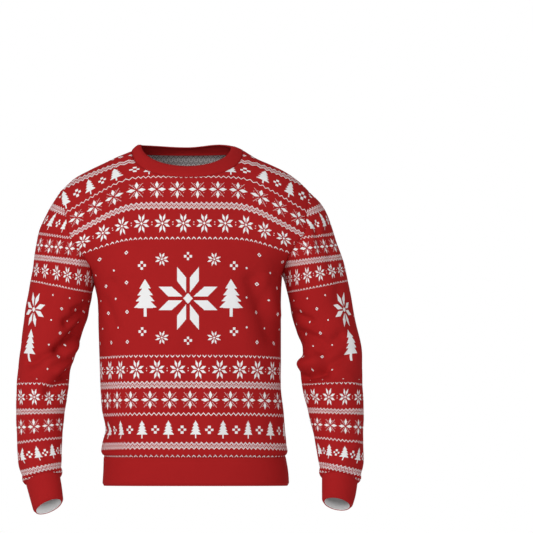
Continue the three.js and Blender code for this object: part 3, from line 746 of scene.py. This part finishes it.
def stitches(name, line, thickness, pitch, thread, material):
    """Thread stitches along a closed line: each a thin six-sided spindle that lies on the cloth,
    with two rings of points round it a quarter of its length from its tips."""
    points, normals = (np.concatenate([values, values[:1]]) for values in line)
    along = np.pad(np.cumsum(np.linalg.norm(np.diff(points, axis=0), axis=-1)), (1, 0))
    count = int(along[-1] / pitch)

    def at(places, values):
        return np.stack([np.interp(places, along, values[:, k]) for k in range(3)], -1)

    start = np.arange(count) / count * along[-1]
    end = start + STITCH_SHARE * along[-1] / count
    up = unit(at((start + end) / 2, normals))
    first, last = (at(places, points) + up * (thickness / 2 + thread * 0.2) for places in (start, end))
    side = unit(np.cross(last - first, up))
    turn = np.arange(STITCH_SIDES) * 2 * np.pi / STITCH_SIDES
    ring = (np.cos(turn)[:, None] * side[:, None] + np.sin(turn)[:, None] * up[:, None]) * thread / 2
    near, far = (mix(first, last, share)[:, None] + ring for share in (0.25, 0.75))
    spindle = np.concatenate([first[:, None], near, far, last[:, None]], 1)
    k = np.arange(STITCH_SIDES)
    after, tip = (k + 1) % STITCH_SIDES, 2 * STITCH_SIDES + 1
    sides = np.stack([1 + k, 1 + STITCH_SIDES + k, 1 + STITCH_SIDES + after, 1 + after], -1)
    ends = np.concatenate([np.stack([0 * k, 1 + k, 1 + after], -1),
                           np.stack([tip + 0 * k, 1 + STITCH_SIDES + after, 1 + STITCH_SIDES + k], -1)])
    offset = (np.arange(count) * (tip + 1))[:, None, None]
    faces = [*(sides + offset).reshape(-1, 4).tolist(), *(ends + offset).reshape(-1, 3).tolist()]
    mesh = bpy.data.meshes.new(name)
    mesh.from_pydata(spindle.reshape(-1, 3) * MM, [], faces)
    mesh.shade_smooth()
    return placed(mesh, [material])


class Value:
    """A socket of a material's node tree, in Python arithmetic: each operator adds a Math node."""

    def __init__(self, tree, socket):
        self.tree, self.socket = tree, socket

    def math(self, operation, *terms):
        node = self.tree.nodes.new("ShaderNodeMath")
        node.operation = operation
        for slot, term in zip(node.inputs, terms):
            plug(self.tree, slot, term)
        return Value(self.tree, node.outputs[0])

    def __add__(self, other): return self.math("ADD", self, other)
    def __radd__(self, other): return self.math("ADD", other, self)
    def __sub__(self, other): return self.math("SUBTRACT", self, other)
    def __rsub__(self, other): return self.math("SUBTRACT", other, self)
    def __mul__(self, other): return self.math("MULTIPLY", self, other)
    def __rmul__(self, other): return self.math("MULTIPLY", other, self)
    def __truediv__(self, other): return self.math("DIVIDE", self, other)
    def __rtruediv__(self, other): return self.math("DIVIDE", other, self)
    def __mod__(self, other): return self.math("FLOORED_MODULO", self, other)
    def __neg__(self): return self.math("MULTIPLY", self, -1)
    def __abs__(self): return self.math("ABSOLUTE", self)
    def __lt__(self, other): return self.math("LESS_THAN", self, other)
    def __gt__(self, other): return self.math("GREATER_THAN", self, other)
    def __and__(self, other): return self.math("MINIMUM", self, other)
    def __or__(self, other): return self.math("MAXIMUM", self, other)
    def floor(self): return self.math("FLOOR", self)
    def round(self): return self.math("ROUND", self)
    def sine(self): return self.math("SINE", self)


def plug(tree, slot, value):
    """Links a value to a socket, or sets the socket where it is a plain number or colour."""
    if isinstance(value, Value):
        tree.links.new(value.socket, slot)
    else:
        slot.default_value = value


class Material:
    """A new material's tree, with one Principled shader, whose other nodes come from node()."""

    def __init__(self, name):
        self.made = bpy.data.materials.new(name)
        self.made.use_nodes = True
        self.tree = self.made.node_tree
        self.tree.nodes.clear()

    def node(self, kind, values=(), output=0, **settings):
        """Adds a node: its settings first, then values or links for its inputs by name or number."""
        made = self.tree.nodes.new(kind)
        for name, setting in settings.items():
            setattr(made, name, setting)
        for slot, value in dict(values).items():
            plug(self.tree, made.inputs[slot], value)
        return Value(self.tree, made.outputs[output])

    def flat(self, name):
        """The two coordinates of a UV map, in millimetres."""
        place = self.node("ShaderNodeUVMap", uv_map=name)
        apart = self.tree.nodes.new("ShaderNodeSeparateXYZ")
        plug(self.tree, apart.inputs[0], place)
        return [Value(self.tree, apart.outputs[k]) / MM for k in (0, 1)]

    def mix(self, share, low, high):
        """One colour, or another by a share."""
        return self.node("ShaderNodeMix", {0: share, 6: low, 7: high}, 2, data_type="RGBA")

    def noise(self, x, y, scale, detail=2.0):
        """Smooth noise from 0 to 1 over two coordinates in millimetres."""
        at = self.node("ShaderNodeCombineXYZ", {0: x * scale, 1: y * scale})
        return self.node("ShaderNodeTexNoise", {"Vector": at, "Scale": 1.0, "Detail": detail})

    def finish(self, colour, roughness, height=None, sheen=0.0, painted_light=None):
        """The shader: its colour and roughness, a bump from a height in millimetres, and an emission
        colour, which is painted light that brightens the cloth."""
        values = {"Base Color": colour, "Roughness": roughness, "Sheen Weight": sheen,
                  "Sheen Roughness": 0.5, "Specular IOR Level": 0.05}
        if height is not None:
            values["Normal"] = self.node("ShaderNodeBump", {"Height": height, "Strength": 1.0,
                                                            "Distance": MM})
        if painted_light is not None:
            values.update({"Emission Color": painted_light, "Emission Strength": 1.0})
        shader = self.node("ShaderNodeBsdfPrincipled", values)
        out = self.tree.nodes.new("ShaderNodeOutputMaterial")
        plug(self.tree, out.inputs["Surface"], shader)
        return self.made


CELL = 0.85                 # size of the print's own stitches, that its motifs are stepped to


def stepped(x, y):
    """Coordinates stepped to the middles of the print's cells."""
    return (x / CELL + 0.5).floor() * CELL, (y / CELL + 0.5).floor() * CELL


def repeat(x, pitch, start=0.0):
    """The distance, either way, from the nearest of an even row of places."""
    x = x - start
    return x - (x / pitch).round() * pitch


def nearest(x, q, rows):
    """Coordinates from a motif in the nearest of the rows, which are pairs of a height and the
    place of one motif in it."""
    rows = sorted(rows)
    start, centre = rows[0][1], rows[0][0]
    for (low, before), (high, after) in zip(rows, rows[1:]):
        beyond = q > (low + high) / 2
        centre = beyond * (high - low) + centre
        start = beyond * (after - before) + start
    return x - start, q - centre


ZIGZAG_PITCH = 9.97
# Half the height of the net's meshes, and half the thickness of its lines and edges, in that unit
NET_HEIGHT, NET_LINE, NET_EDGE = 2.35, 0.17, 0.32


def zigzag(graph, x, y):
    """One zigzag line: the distance from the nearest peak times a slope gives its height."""
    return abs(y + abs(repeat(x, ZIGZAG_PITCH)) * 1.06 - 2.65) < 0.95


def lattice(graph, x, y):
    """A net between two bolder zigzags: its lines slant as the zigzags do, up and down, at even
    distances from them."""
    wave, y = abs(repeat(x, ZIGZAG_PITCH)) / (ZIGZAG_PITCH / 4), y / NET_HEIGHT
    down, up = y + wave, y - wave
    lines = (abs(repeat(down, 2)) < NET_LINE) | (abs(repeat(up, 2)) < NET_LINE)
    from_middle = abs(down - 1)
    return (abs(from_middle - 2) < NET_EDGE) | (lines & (from_middle < 2))


def caret(graph, x, y):
    """A row of small peaks, a line bent down on both sides of each."""
    x = abs(repeat(x, 10.65))
    return (abs(y + x - 1.8) < 1.15) & (x < 3.6)


def chevron(graph, x, y):
    """The same row upside down."""
    return caret(graph, x, -y)


def beads(graph, x, y):
    """A row of small rings with four corners."""
    ring = abs(repeat(x, 11.0)) + abs(y)
    return (ring > 1.2) & (ring < 3.2)


def square(x, y, half):
    """A square of the given half size at the origin."""
    return (abs(x) < half) & (abs(y) < half)


def star(x, y, wide, tall):
    """An eight-point star of the given half sizes: in each eighth a long diamond between two slanting
    lines, and a small diamond in the middle."""
    x, y = abs(x) / wide, abs(y) / tall
    low, high = x & y, x | y
    petals = (low > 0.065) & (low < 0.38) & (high > low * 1.2 + 0.11) & (high < low * 1.1 + 0.6)
    return petals | (x + y < 0.17)


def rosette(graph, x, y):
    """A row of eight-point stars with two dots between."""
    x = repeat(x, 41.7)
    return star(x, y, 15.0, 18.4) | square(abs(x) - 20.8, abs(y) - 2.5, 0.9)


ARM_TINT = 0.6              # how white the thin arms print


def petals(graph, x, y):
    """A row of crosses of four long petals, with thin pale arms slanting between them."""
    x, y = abs(repeat(x, 40.35)), abs(y)
    low, high = x & y, x | y
    leaf = low < ((high - 2.0) * 0.48 & (18 - high) * 0.48)
    arm = (abs(x - y * 0.82) < 0.6) & (y > 3.5) & (y < 15.0)
    dots = square(x - 6.3, y - 11.5, 0.7) | square(x - 12.5, y - 6.5, 0.7)
    return leaf | (arm | dots) * ARM_TINT


# Half widths of a fir tree below its tip, as pairs of height and half width
TREE = ((0, 0), (9, 5.6), (9.2, 2.9), (15.4, 7.6), (15.6, 4.2), (21.2, 9.4), (21.4, 5.6),
        (27.4, 11.3), (27.6, 1.5), (35.6, 1.5), (35.8, 0))
TREE_TALL, TREE_WIDE = 35.8, 11.3


def tree(graph, x, below):
    """A fir tree of four tiers and a trunk: its half width by a ramp of the height below its tip."""
    made = graph.tree.nodes.new("ShaderNodeValToRGB")
    ramp = made.color_ramp
    while len(ramp.elements) < len(TREE):
        ramp.elements.new(1.0)
    for element, (height, half) in zip(ramp.elements, TREE):
        element.position = height / TREE_TALL
        element.color = (half / TREE_WIDE,) * 3 + (1,)
    plug(graph.tree, made.inputs[0], below / TREE_TALL)
    return abs(x) < Value(graph.tree, made.outputs[0]) * TREE_WIDE


def four_dots(x, y):
    """Four squares in a diamond."""
    x, y = abs(x), abs(y)
    return square(x - 5.7, y, 2.5) | square(x, y - 5.7, 2.5)


def trees(graph, x, y, pitch=54.25):
    """A row of fir trees with four dots between each two."""
    x, y = stepped(repeat(x, pitch), y)
    return tree(graph, x, 18.0 - y) | four_dots(abs(x) - pitch / 2, y)


def close_trees(graph, x, y):
    """The same row with less room between the trees."""
    return trees(graph, x, y, 42.0)


ROW_MOTIFS = {"beads": beads, "lattice": lattice, "trees": trees, "close_trees": close_trees,
              "zigzag": zigzag, "petals": petals, "rosette": rosette, "caret": caret,
              "chevron": chevron}


def scattered(x, y):
    """Small diamonds over a plain field: hollow ones, and solid ones between them."""
    ring = abs(repeat(x, 54.0, -18.0)) + abs(repeat(y, 60.0, 37.0))
    dot = abs(repeat(x, 54.0, 9.0)) + abs(repeat(y, 60.0, 6.0))
    return ((ring > 1.9) & (ring < 4.3)) | (dot < 2.6)


CHEST_Z_MIDDLE, CHEST_HALF = -297.0, (112.0, 101.0)


def chest_design(graph, x, q):
    """A large star between two large fir trees, with small stars and dots round them. Returns the
    design and the place that it takes up."""
    x, y = stepped(x + 1, q - CHEST_Z_MIDDLE)
    side = abs(x)
    shape = star(x, y, 58.0, 62.0) | tree(graph, (side - 86) / 2.1, (39 - y) / 2.1)
    shape = shape | star(side - 52, abs(y) - 78, 13.0, 13.0) | four_dots(side - 92, y - 66)
    shape = shape | four_dots(side - 92, y + 66) | four_dots(x, abs(y) - 84)
    return shape, (side < CHEST_HALF[0]) & (abs(y) < CHEST_HALF[1])


def sleeve_design(graph, x, q):
    """A star above a fir tree on each side of the sleeve's outer edge."""
    x, y = stepped(abs(x) - 62, q + 372)
    shape = star(x, y - 48, 34.0, 32.0) | tree(graph, x / 1.8, (10 - y) / 1.7)
    return shape, (abs(x) < 40) & (abs(y) < 84)


def printed_cloth(name, rows, field, colours, sizes, design=None, scale=(1.0, 1.0)):
    """Printed knit: its rows of motifs, with small diamonds over the plain field between two
    heights and a design on it, over knit stitches."""
    ground, ornament = colours
    graph = Material(name)
    x, q = graph.flat("flat")
    x = x / scale[0]
    shape = None
    for kind, places in rows.items():
        across, up = nearest(x, q, places)
        row = ROW_MOTIFS[kind](graph, across, up / scale[1])
        shape = row if shape is None else shape | row
    if field:
        free = (q > field[0]) & (q < field[1])
        marks = scattered(x, q / scale[1])
        if design:
            picture, place = design(graph, x, q)
            marks = (marks & (place < 0.5)) | picture
        shape = shape | (marks & free)
    return knit(graph, shape, ground, ornament, sizes)


# Distance from a cuff's seam to where the painted light on its inner side begins, and to its free edge
PAINTED_LIGHT_FROM, BAND_LENGTH = 36.0, 60.0


def knit(graph, shape, ground, ornament, sizes, painted_light=0.0):
    """Knit cloth in one or two colours: V stitches and a soft fuzz. Its painted light is an emission
    that brightens the cloth most at the free edge, fading out inwards."""
    x, y = graph.flat("flat")
    loop = abs((x / sizes.stitch * MM) % 1 - 0.5)
    stitch = ((y / sizes.stitch * MM + loop * 1.3) * 6.283).sine() * (0.5 - loop)
    fuzz = graph.noise(x, y, 1.1, 3.0)
    patches = graph.noise(x, y, 0.02, 2.0)
    colour = ground if shape is None else graph.mix(shape, ground, ornament)
    shade = 0.94 + 0.07 * patches + 0.06 * fuzz
    grey = graph.node("ShaderNodeCombineColor", {0: shade, 1: shade, 2: shade})
    colour = graph.node("ShaderNodeMix", {0: 1.0, 6: colour, 7: grey}, 2, data_type="RGBA",
                        blend_type="MULTIPLY")
    height = stitch * 0.10 + fuzz * 0.16
    light = None
    # Painted light: a grey emission that grows from nothing partway down the band to full at its free
    # edge
    if painted_light:
        _, off = graph.flat("seam")
        through = (((off - PAINTED_LIGHT_FROM) / (BAND_LENGTH - PAINTED_LIGHT_FROM) & 1) | 0) * painted_light
        light = graph.node("ShaderNodeCombineColor", {0: through, 1: through, 2: through})
    return graph.finish(colour, 0.84 + 0.1 * fuzz, height, sizes.sheen, light)


class SweaterSizes(bpy.types.PropertyGroup):
    """Sizes of the cloth and of its seams and folds."""

    cloth: FloatProperty(name="Cloth", description="Thickness of a panel or sleeve",
                         default=0.002, min=0.001, max=0.003, unit="LENGTH")
    folded: FloatProperty(name="Folded cloth", description="Thickness of a band",
                          default=0.0024, min=0.001, max=0.004, unit="LENGTH")
    seam_gap: FloatProperty(name="Seam gap", description="Clear space between two sewn edges",
                            default=0.0003, min=0.0001, max=0.001, unit="LENGTH")
    seam_dip: FloatProperty(name="Seam dip", description="How far the cloth sinks at a seam",
                            default=0.0011, min=0.0, max=0.002, unit="LENGTH")
    edge_roll: FloatProperty(name="Edge roll", description="How far a free edge rolls inwards",
                             default=0.0028, min=0.0, max=0.005, unit="LENGTH")
    hem_puff: FloatProperty(name="Hem puff", description="How far the body puffs out over its band",
                            default=0.003, min=0.0, max=0.01, unit="LENGTH")
    cuff_puff: FloatProperty(name="Cuff puff", description="The same of the sleeves over the cuffs",
                             default=0.004, min=0.0, max=0.01, unit="LENGTH")
    band_bulge: FloatProperty(name="Band bulge", description="How far the collar bows out",
                              default=0.0016, min=0.0, max=0.004, unit="LENGTH")
    folds: FloatProperty(name="Folds", description="Strength of the body's folds and wrinkles",
                         default=1.4, min=0.0, max=3.0, subtype="FACTOR")
    sleeve_folds: FloatProperty(name="Sleeve folds", description="The same of the sleeves",
                                default=2.1, min=0.0, max=3.0, subtype="FACTOR")
    stitch: FloatProperty(name="Stitch", description="Width and height of a knit stitch",
                          default=0.0013, min=0.0005, max=0.004, unit="LENGTH")
    sheen: FloatProperty(name="Sheen", description="Soft shine of the brushed cloth",
                         default=0.0, min=0.0, max=1.0, subtype="FACTOR")
    topstitch: FloatProperty(name="Topstitch", description="From one stitch of thread to the next",
                             default=0.0032, min=0.001, max=0.01, unit="LENGTH")
    thread: FloatProperty(name="Thread", description="Thickness of the sewing thread",
                          default=0.0006, min=0.0002, max=0.002, unit="LENGTH")
    # Strength of the painted light on the cuffs' inner side, an emission that brightens it towards the
    # free edge
    painted_light: FloatProperty(name="Glow", description="Light that comes through the cuffs' cloth",
                        default=0.36, min=0.0, max=1.0, subtype="FACTOR")
    panel_columns: IntProperty(name="Panel columns", description="Steps across a panel",
                               default=150, min=40, max=240)
    panel_rows: IntProperty(name="Panel rows", description="Steps up a panel",
                            default=150, min=40, max=240)
    sleeve_columns: IntProperty(name="Sleeve columns", description="Steps round a sleeve",
                                default=120, min=40, max=200)
    sleeve_rows: IntProperty(name="Sleeve rows", description="Steps down a sleeve",
                             default=170, min=40, max=240)


class SweaterColours(bpy.types.PropertyGroup):
    """Colours of the cloth, the print and the thread."""

    red: FloatVectorProperty(name="Red", description="Ground of the print", size=4,
                             default=(0.41, 0.0155, 0.0165, 1), min=0, max=1, subtype="COLOR")
    band_red: FloatVectorProperty(name="Band red", description="Collar, cuffs and hem", size=4,
                                  default=(0.40, 0.015, 0.016, 1), min=0, max=1, subtype="COLOR")
    white: FloatVectorProperty(name="White", description="Motifs of the print", size=4,
                               default=(0.9, 0.9, 0.9, 1), min=0, max=1, subtype="COLOR")
    inside: FloatVectorProperty(name="Inside", description="Unprinted inner side", size=4,
                                default=(0.90, 0.87, 0.87, 1), min=0, max=1, subtype="COLOR")
    cuff_inside: FloatVectorProperty(name="Cuff inside", description="Inner side of the cuffs", size=4,
                                     default=(0.6, 0.59, 0.59, 1), min=0, max=1, subtype="COLOR")
    # Ground of the inner side: partly the print showing through, partly painted shade that keeps it
    # dark
    through: FloatVectorProperty(name="Show-through", description="Print seen from the inner side",
                                 size=4, default=(0.2, 0.16, 0.16, 1), min=0, max=1,
                                 subtype="COLOR")
    thread: FloatVectorProperty(name="Thread", description="Seam stitches", size=4,
                                default=(0.26, 0.01, 0.012, 1), min=0, max=1, subtype="COLOR")


class StageSizes(bpy.types.PropertyGroup):
    """The camera, the lights and the floor."""

    distance: FloatProperty(name="Distance", description="From the camera to the sweater",
                            default=30.0, min=2.0, max=60.0, unit="LENGTH")
    view_width: FloatProperty(name="View width", description="What the camera takes in there",
                              default=1.066, min=0.5, max=4.0, unit="LENGTH")
    view_x: FloatProperty(name="View X", description="Middle of the view, sideways",
                          default=0.153, unit="LENGTH")
    view_z: FloatProperty(name="View Z", description="Middle of the view, upwards",
                          default=-0.233, unit="LENGTH")
    eye_z: FloatProperty(name="Eye height", description="Height of the camera",
                         default=-0.35, unit="LENGTH")
    floor_z: FloatProperty(name="Floor height", description="Height of the floor",
                           default=-1.05, unit="LENGTH")
    floor_radius: FloatProperty(name="Floor radius", description="Size of the floor",
                                default=6.0, min=1.0, max=20.0, unit="LENGTH")
    key: FloatProperty(name="Key light", description="Power of the large front light",
                       default=66.0, min=0.0, max=5000.0, unit="POWER")
    fill: FloatProperty(name="Fill", description="Strength of the light from all round",
                        default=0.42, min=0.0, max=2.0)


def dress(sheet, node, materials, thickness):
    piece = cloth_mesh(sheet, thickness / MM, materials)
    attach(piece, "root")
    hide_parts(node)
    return piece


def printed_pair(name, rows, field, settings, design=None, scale=(1.0, 1.0), inner_rows=None):
    """The outer and inner material of a printed piece, whose print is faint on the inner side,
    on a ground kept dark as painted shade.
    """
    colours, sizes = settings
    outer, inner = (colours.red, colours.white), (colours.through, colours.inside)
    return [printed_cloth(name + "_knit", rows, field, outer, sizes, design, scale),
            printed_cloth(name + "_inside", inner_rows or rows, field, inner, sizes, design, scale)]


class SWEATER_OT_panels(bpy.types.Operator):
    """Lay out the front and the back panel"""

    bl_idname = "sweater.panels"
    bl_label = "Front and Back"

    def execute(self, context):
        sizes, colours = context.scene.sweater_sizes, context.scene.sweater_colours
        sheets = sweater_sheets(sizes)
        front = printed_pair("front", FRONT_ROWS, PLAIN["body"], (colours, sizes), chest_design)
        back = printed_pair("back", BACK_ROWS, None, (colours, sizes), inner_rows=BACK_INSIDE_ROWS)
        dress(sheets["front"], "front_panel", front, sizes.cloth)
        dress(sheets["back"], "back_panel", back, sizes.cloth)
        return {"FINISHED"}


class SWEATER_OT_sleeves(bpy.types.Operator):
    """Lay out the two sleeves"""

    bl_idname = "sweater.sleeves"
    bl_label = "Sleeves"

    def execute(self, context):
        sizes, colours = context.scene.sweater_sizes, context.scene.sweater_colours
        sheets = sweater_sheets(sizes)
        cloth = printed_pair("sleeve", SLEEVE_ROWS, PLAIN["sleeve"], (colours, sizes), sleeve_design,
                             (SLEEVE_WIDTH, SLEEVE_HEIGHT))
        for side in ("right", "left"):
            dress(sheets["sleeve_" + side], "sleeve_" + side, cloth,
                  sizes.cloth)
        return {"FINISHED"}


class SWEATER_OT_bands(bpy.types.Operator):
    """Lay out the collar, the cuffs and the hem band"""

    bl_idname = "sweater.bands"
    bl_label = "Bands"

    def execute(self, context):
        sizes, colours = context.scene.sweater_sizes, context.scene.sweater_colours
        sheets = sweater_sheets(sizes)
        red = knit(Material("band_knit"), None, colours.band_red, None, sizes)
        # The cuffs' inner side, with painted light that brightens it towards the free edge
        pale = knit(Material("cuff_inside"), None, colours.cuff_inside, None, sizes, sizes.painted_light)
        for name, inner, flat in (("neck_band", red, (0.54, 0.0315)), ("hem_band", red, (0.99, 0.058)),
                                  ("cuff_right", pale, (0.225, 0.056)),
                                  ("cuff_left", pale, (0.225, 0.056))):
            dress(sheets[name], name, [red, inner], sizes.folded)
        return {"FINISHED"}


class SWEATER_OT_stitching(bpy.types.Operator):
    """Sew the topstitching beside the collar, the hem band and the cuffs"""

    bl_idname = "sweater.stitching"
    bl_label = "Stitching"

    def execute(self, context):
        sizes, colours = context.scene.sweater_sizes, context.scene.sweater_colours
        thread = Material("thread").finish(colours.thread, 0.7)
        for name, line in seam_lines(sweater_sheets(sizes)).items():
            piece = stitches("stitches_" + name, line, sizes.cloth / MM, sizes.topstitch / MM,
                             sizes.thread / MM, thread)
            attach(piece, "root")
        return {"FINISHED"}


class SWEATER_OT_stage(bpy.types.Operator):
    """Set up the floor, the light and the camera"""

    bl_idname = "sweater.stage"
    bl_label = "Stage"

    def execute(self, context):
        scene, stage = context.scene, context.scene.sweater_stage
        angle = np.linspace(0, 2 * np.pi, 96, endpoint=False)
        rim = np.stack([np.cos(angle), np.sin(angle), np.zeros_like(angle)], -1) * stage.floor_radius
        mesh = bpy.data.meshes.new("floor")
        mesh.from_pydata(rim + (0, 0, stage.floor_z), [], [range(len(rim))])
        paper = Material("paper")
        shader = paper.node("ShaderNodeBsdfPrincipled", {"Base Color": (0.9, 0.9, 0.9, 1),
                                                         "Roughness": 0.9})
        plug(paper.tree, paper.tree.nodes.new("ShaderNodeOutputMaterial").inputs["Surface"], shader)
        placed(mesh, [paper.made])

        world = bpy.data.worlds.new("studio")
        scene.world = world
        world.use_nodes = True
        tree = world.node_tree
        tree.nodes.clear()
        camera_ray = Value(tree, tree.nodes.new("ShaderNodeLightPath").outputs["Is Camera Ray"])
        light = tree.nodes.new("ShaderNodeBackground")
        light.inputs["Color"].default_value = (1, 1, 1, 1)
        plug(tree, light.inputs["Strength"], camera_ray * (1 - stage.fill) + stage.fill)
        tree.links.new(light.outputs[0], tree.nodes.new("ShaderNodeOutputWorld").inputs["Surface"])

        for name, place, size, power in (("key", (-2.1, -3.2, 1.3), 2.4, stage.key),
                                         ("front", (0.6, -4.2, -0.5), 2.4, stage.key * 0.45),
                                         ("back", (0.8, 4.2, 0.6), 2.4, stage.key * 0.7)):
            data = bpy.data.lights.new(name, "AREA")
            data.energy, data.size = power, size
            lamp = bpy.data.objects.new(name, data)
            lamp.location = place
            sight = Vector((0, 0, -0.35)) - lamp.location
            lamp.rotation_euler = sight.to_track_quat("-Z", "Y").to_euler()
            scene.collection.objects.link(lamp)

        data = bpy.data.cameras.new("camera")
        data.sensor_width = 36
        camera = bpy.data.objects.new("camera", data)
        camera.location = (0, -stage.distance, stage.eye_z)
        sight = Vector((stage.view_x, 0, stage.view_z)) - camera.location
        camera.rotation_euler = sight.to_track_quat("-Z", "Y").to_euler()
        data.lens = data.sensor_width * sight.length / stage.view_width
        data.clip_end = 100
        scene.collection.objects.link(camera)
        scene.camera = camera
        scene.view_settings.view_transform = "Standard"
        return {"FINISHED"}


class SWEATER_PT_parts(bpy.types.Panel):
    """The sweater's pieces and their sizes"""

    bl_idname = "SWEATER_PT_parts"
    bl_label = "Christmas Sweater"
    bl_space_type = "VIEW_3D"
    bl_region_type = "UI"
    bl_category = "Sweater"

    def draw(self, context):
        for operator in OPERATORS:
            self.layout.operator(operator.bl_idname)
        for name in GROUPS:
            group = getattr(context.scene, name)
            box = self.layout.box()
            for setting in group.bl_rna.properties:
                if setting.identifier not in ("rna_type", "name"):
                    box.prop(group, setting.identifier)


OPERATORS = (SWEATER_OT_panels, SWEATER_OT_sleeves, SWEATER_OT_bands, SWEATER_OT_stitching,
             SWEATER_OT_stage)
GROUPS = {"sweater_sizes": SweaterSizes, "sweater_colours": SweaterColours,
          "sweater_stage": StageSizes}


def register():
    """Registers the classes and gives the scene its settings."""
    for kind in (*GROUPS.values(), *OPERATORS, SWEATER_PT_parts):
        bpy.utils.register_class(kind)
    for name, group in GROUPS.items():
        setattr(bpy.types.Scene, name, PointerProperty(type=group))


def unregister():
    """Undoes what register() did."""
    for name in GROUPS:
        delattr(bpy.types.Scene, name)
    for kind in (SWEATER_PT_parts, *reversed(OPERATORS), *reversed(GROUPS.values())):
        bpy.utils.unregister_class(kind)


def main():
    """Makes every piece and the stage."""
    register()
    bpy.ops.sweater.panels()
    bpy.ops.sweater.sleeves()
    bpy.ops.sweater.bands()
    bpy.ops.sweater.stitching()
    bpy.ops.sweater.stage()


if __name__ == "__main__":
    main()
